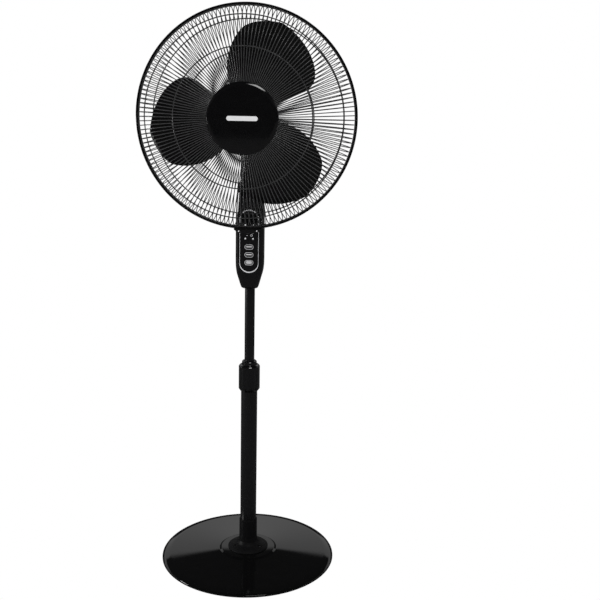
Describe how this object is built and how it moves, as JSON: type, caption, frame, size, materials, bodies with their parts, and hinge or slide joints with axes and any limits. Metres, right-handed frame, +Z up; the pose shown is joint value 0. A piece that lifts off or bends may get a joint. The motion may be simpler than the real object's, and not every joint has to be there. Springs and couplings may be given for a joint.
{
  "type": "pedestal fan",
  "caption": "Floor-standing pedestal fan: round weighted base, telescopic pole, keypad column, tilting and oscillating head with a wire guard around a moulded blade.",
  "frame": {"origin": "on the floor under the pole's axis, at the middle of the base", "axes": "+Z up along the pole; the fan blows towards -Y; +X is to the right seen from the front"},
  "size_m": [0.4399, 0.396, 1.22],
  "materials": {
    "gloss_black": "gloss moulded ABS",
    "satin_black": "fine satin texture",
    "blade_black": "smooth, semi-gloss",
    "wire_black": "gloss powder coat over steel wire",
    "tube_black": "smooth semi-gloss powder coat",
    "rubber": "matt moulded",
    "weight": "rough cast",
    "steel": "zinc plated",
    "zinc_casting": "die-cast",
    "chrome_trim": "bright plated rim",
    "white_mark": "white, slightly glossy",
    "lamp": "milky lens",
    "board": "green solder mask",
    "copper": "enamelled copper wire",
    "bronze": "sintered bronze",
    "gear_nylon": "natural nylon",
    "capacitor": "moulded box"
  },
  "bodies": {
    "stand": {"base_cover": "gloss_black", "base_weight": "weight", "base_plate": "satin_black", "base_feet": "rubber", "base_screws": "steel", "foot_collar": "gloss_black", "pole_nut": "steel", "lower_tube": "tube_black", "collet": "gear_nylon"},
    "collar": {"lock_collar": "gloss_black"},
    "column": {"upper_pole": "tube_black", "pole_stop": "satin_black", "column_front": "gloss_black", "column_rear": "gloss_black", "column_screws": "steel", "pole_clamp": "satin_black", "tilt_bracket": "satin_black", "control_panel": "gloss_black", "panel_trim": "chrome_trim", "indicator_lights": "lamp", "control_board": "board", "tilt_bolt": "steel", "tilt_nut": "steel"},
    "power_key": {"power_button": "satin_black"},
    "speed_key": {"speed_button": "satin_black"},
    "timer_key": {"timer_button": "satin_black"},
    "neck": {"tilt_neck": "gloss_black", "pivot_shaft": "steel", "pivot_clip": "steel"},
    "head": {"gear_case": "zinc_casting", "motor_front_cover": "satin_black", "motor_rear_cover": "gloss_black", "cover_screw": "steel", "stator": "steel", "windings": "copper", "front_bracket": "zinc_casting", "rear_bracket": "zinc_casting", "bearings": "bronze", "motor_screws": "steel", "capacitor": "capacitor", "guard_nut": "satin_black", "rear_guard_wires": "wire_black", "rear_guard_rings": "wire_black", "rear_guard_plate": "wire_black", "front_guard_wires": "wire_black", "front_guard_rings": "wire_black", "front_badge": "gloss_black", "name_bar": "white_mark", "guard_band": "satin_black", "guard_clip": "satin_black", "clip_screw": "steel"},
    "blade": {"fan_blade": "blade_black", "blade_nut": "satin_black", "motor_shaft": "steel", "rotor": "zinc_casting"},
    "wheel": {"worm_wheel": "gear_nylon"},
    "clutch": {"clutch_shaft": "steel"},
    "knob": {"oscillation_knob": "gloss_black"},
    "crank": {"crank_gear": "gear_nylon"},
    "link": {"crank_link": "steel"}
  },
  "joints": [
    {"name": "height_slide", "type": "slide", "parent": "stand", "child": "column", "axis": [0, 0, 1], "range_m": [-0.15, 0.12]},
    {"name": "collar_turn", "type": "hinge", "parent": "stand", "child": "collar", "pos_m": [0, 0, 0.43], "axis": [0, 0, 1], "range_deg": [0, 120]},
    {"name": "power_press", "type": "slide", "parent": "column", "child": "power_key", "axis": [0, 1, 0], "range_m": [0, 0.0012], "stiffness_N_per_m": 400, "springref_m": -0.0015},
    {"name": "speed_press", "type": "slide", "parent": "column", "child": "speed_key", "axis": [0, 1, 0], "range_m": [0, 0.0012], "stiffness_N_per_m": 400, "springref_m": -0.0015},
    {"name": "timer_press", "type": "slide", "parent": "column", "child": "timer_key", "axis": [0, 1, 0], "range_m": [0, 0.0012], "stiffness_N_per_m": 400, "springref_m": -0.0015},
    {"name": "tilt", "type": "hinge", "parent": "column", "child": "neck", "pos_m": [0, 0, 0.885], "axis": [1, 0, 0], "range_deg": [-20, 15]},
    {"name": "oscillation", "type": "hinge", "parent": "neck", "child": "head", "pos_m": [0, 0, 0.94], "axis": [0, 0, 1], "range_deg": [-40, 40]},
    {"name": "blade_spin", "type": "hinge", "parent": "head", "child": "blade", "pos_m": [0, -0.112, 1], "axis": [0, -1, 0], "continuous": true},
    {"name": "worm_wheel_spin", "type": "hinge", "parent": "head", "child": "wheel", "pos_m": [-0.011, 0.038, 1], "axis": [0, 0, 1], "continuous": true},
    {"name": "clutch_turn", "type": "hinge", "parent": "head", "child": "clutch", "pos_m": [-0.011, 0.038, 0.96], "axis": [0, 0, 1], "range_deg": [-340, 340]},
    {"name": "knob_pull", "type": "slide", "parent": "head", "child": "knob", "axis": [0, 0, -1], "range_m": [0, 0.006]},
    {"name": "crank_turn", "type": "hinge", "parent": "head", "child": "crank", "pos_m": [0.00757, 0.034, 0.95], "axis": [0, 0, 1], "range_deg": [-92, 92]},
    {"name": "link_swing", "type": "hinge", "parent": "crank", "child": "link", "pos_m": [0.01847, 0.034, 0.945], "axis": [0, 0, 1], "range_deg": [-92, 92]}
  ],
  "couplings": [
    {"joint": "worm_wheel_spin", "follows": "blade_spin", "ratio": 0.05},
    {"joint": "crank_turn", "follows": "oscillation", "ratio": -2.25},
    {"joint": "link_swing", "follows": "oscillation", "ratio": 2.25},
    {"joint": "clutch_turn", "follows": "oscillation", "ratio": 8.4375}
  ]
}
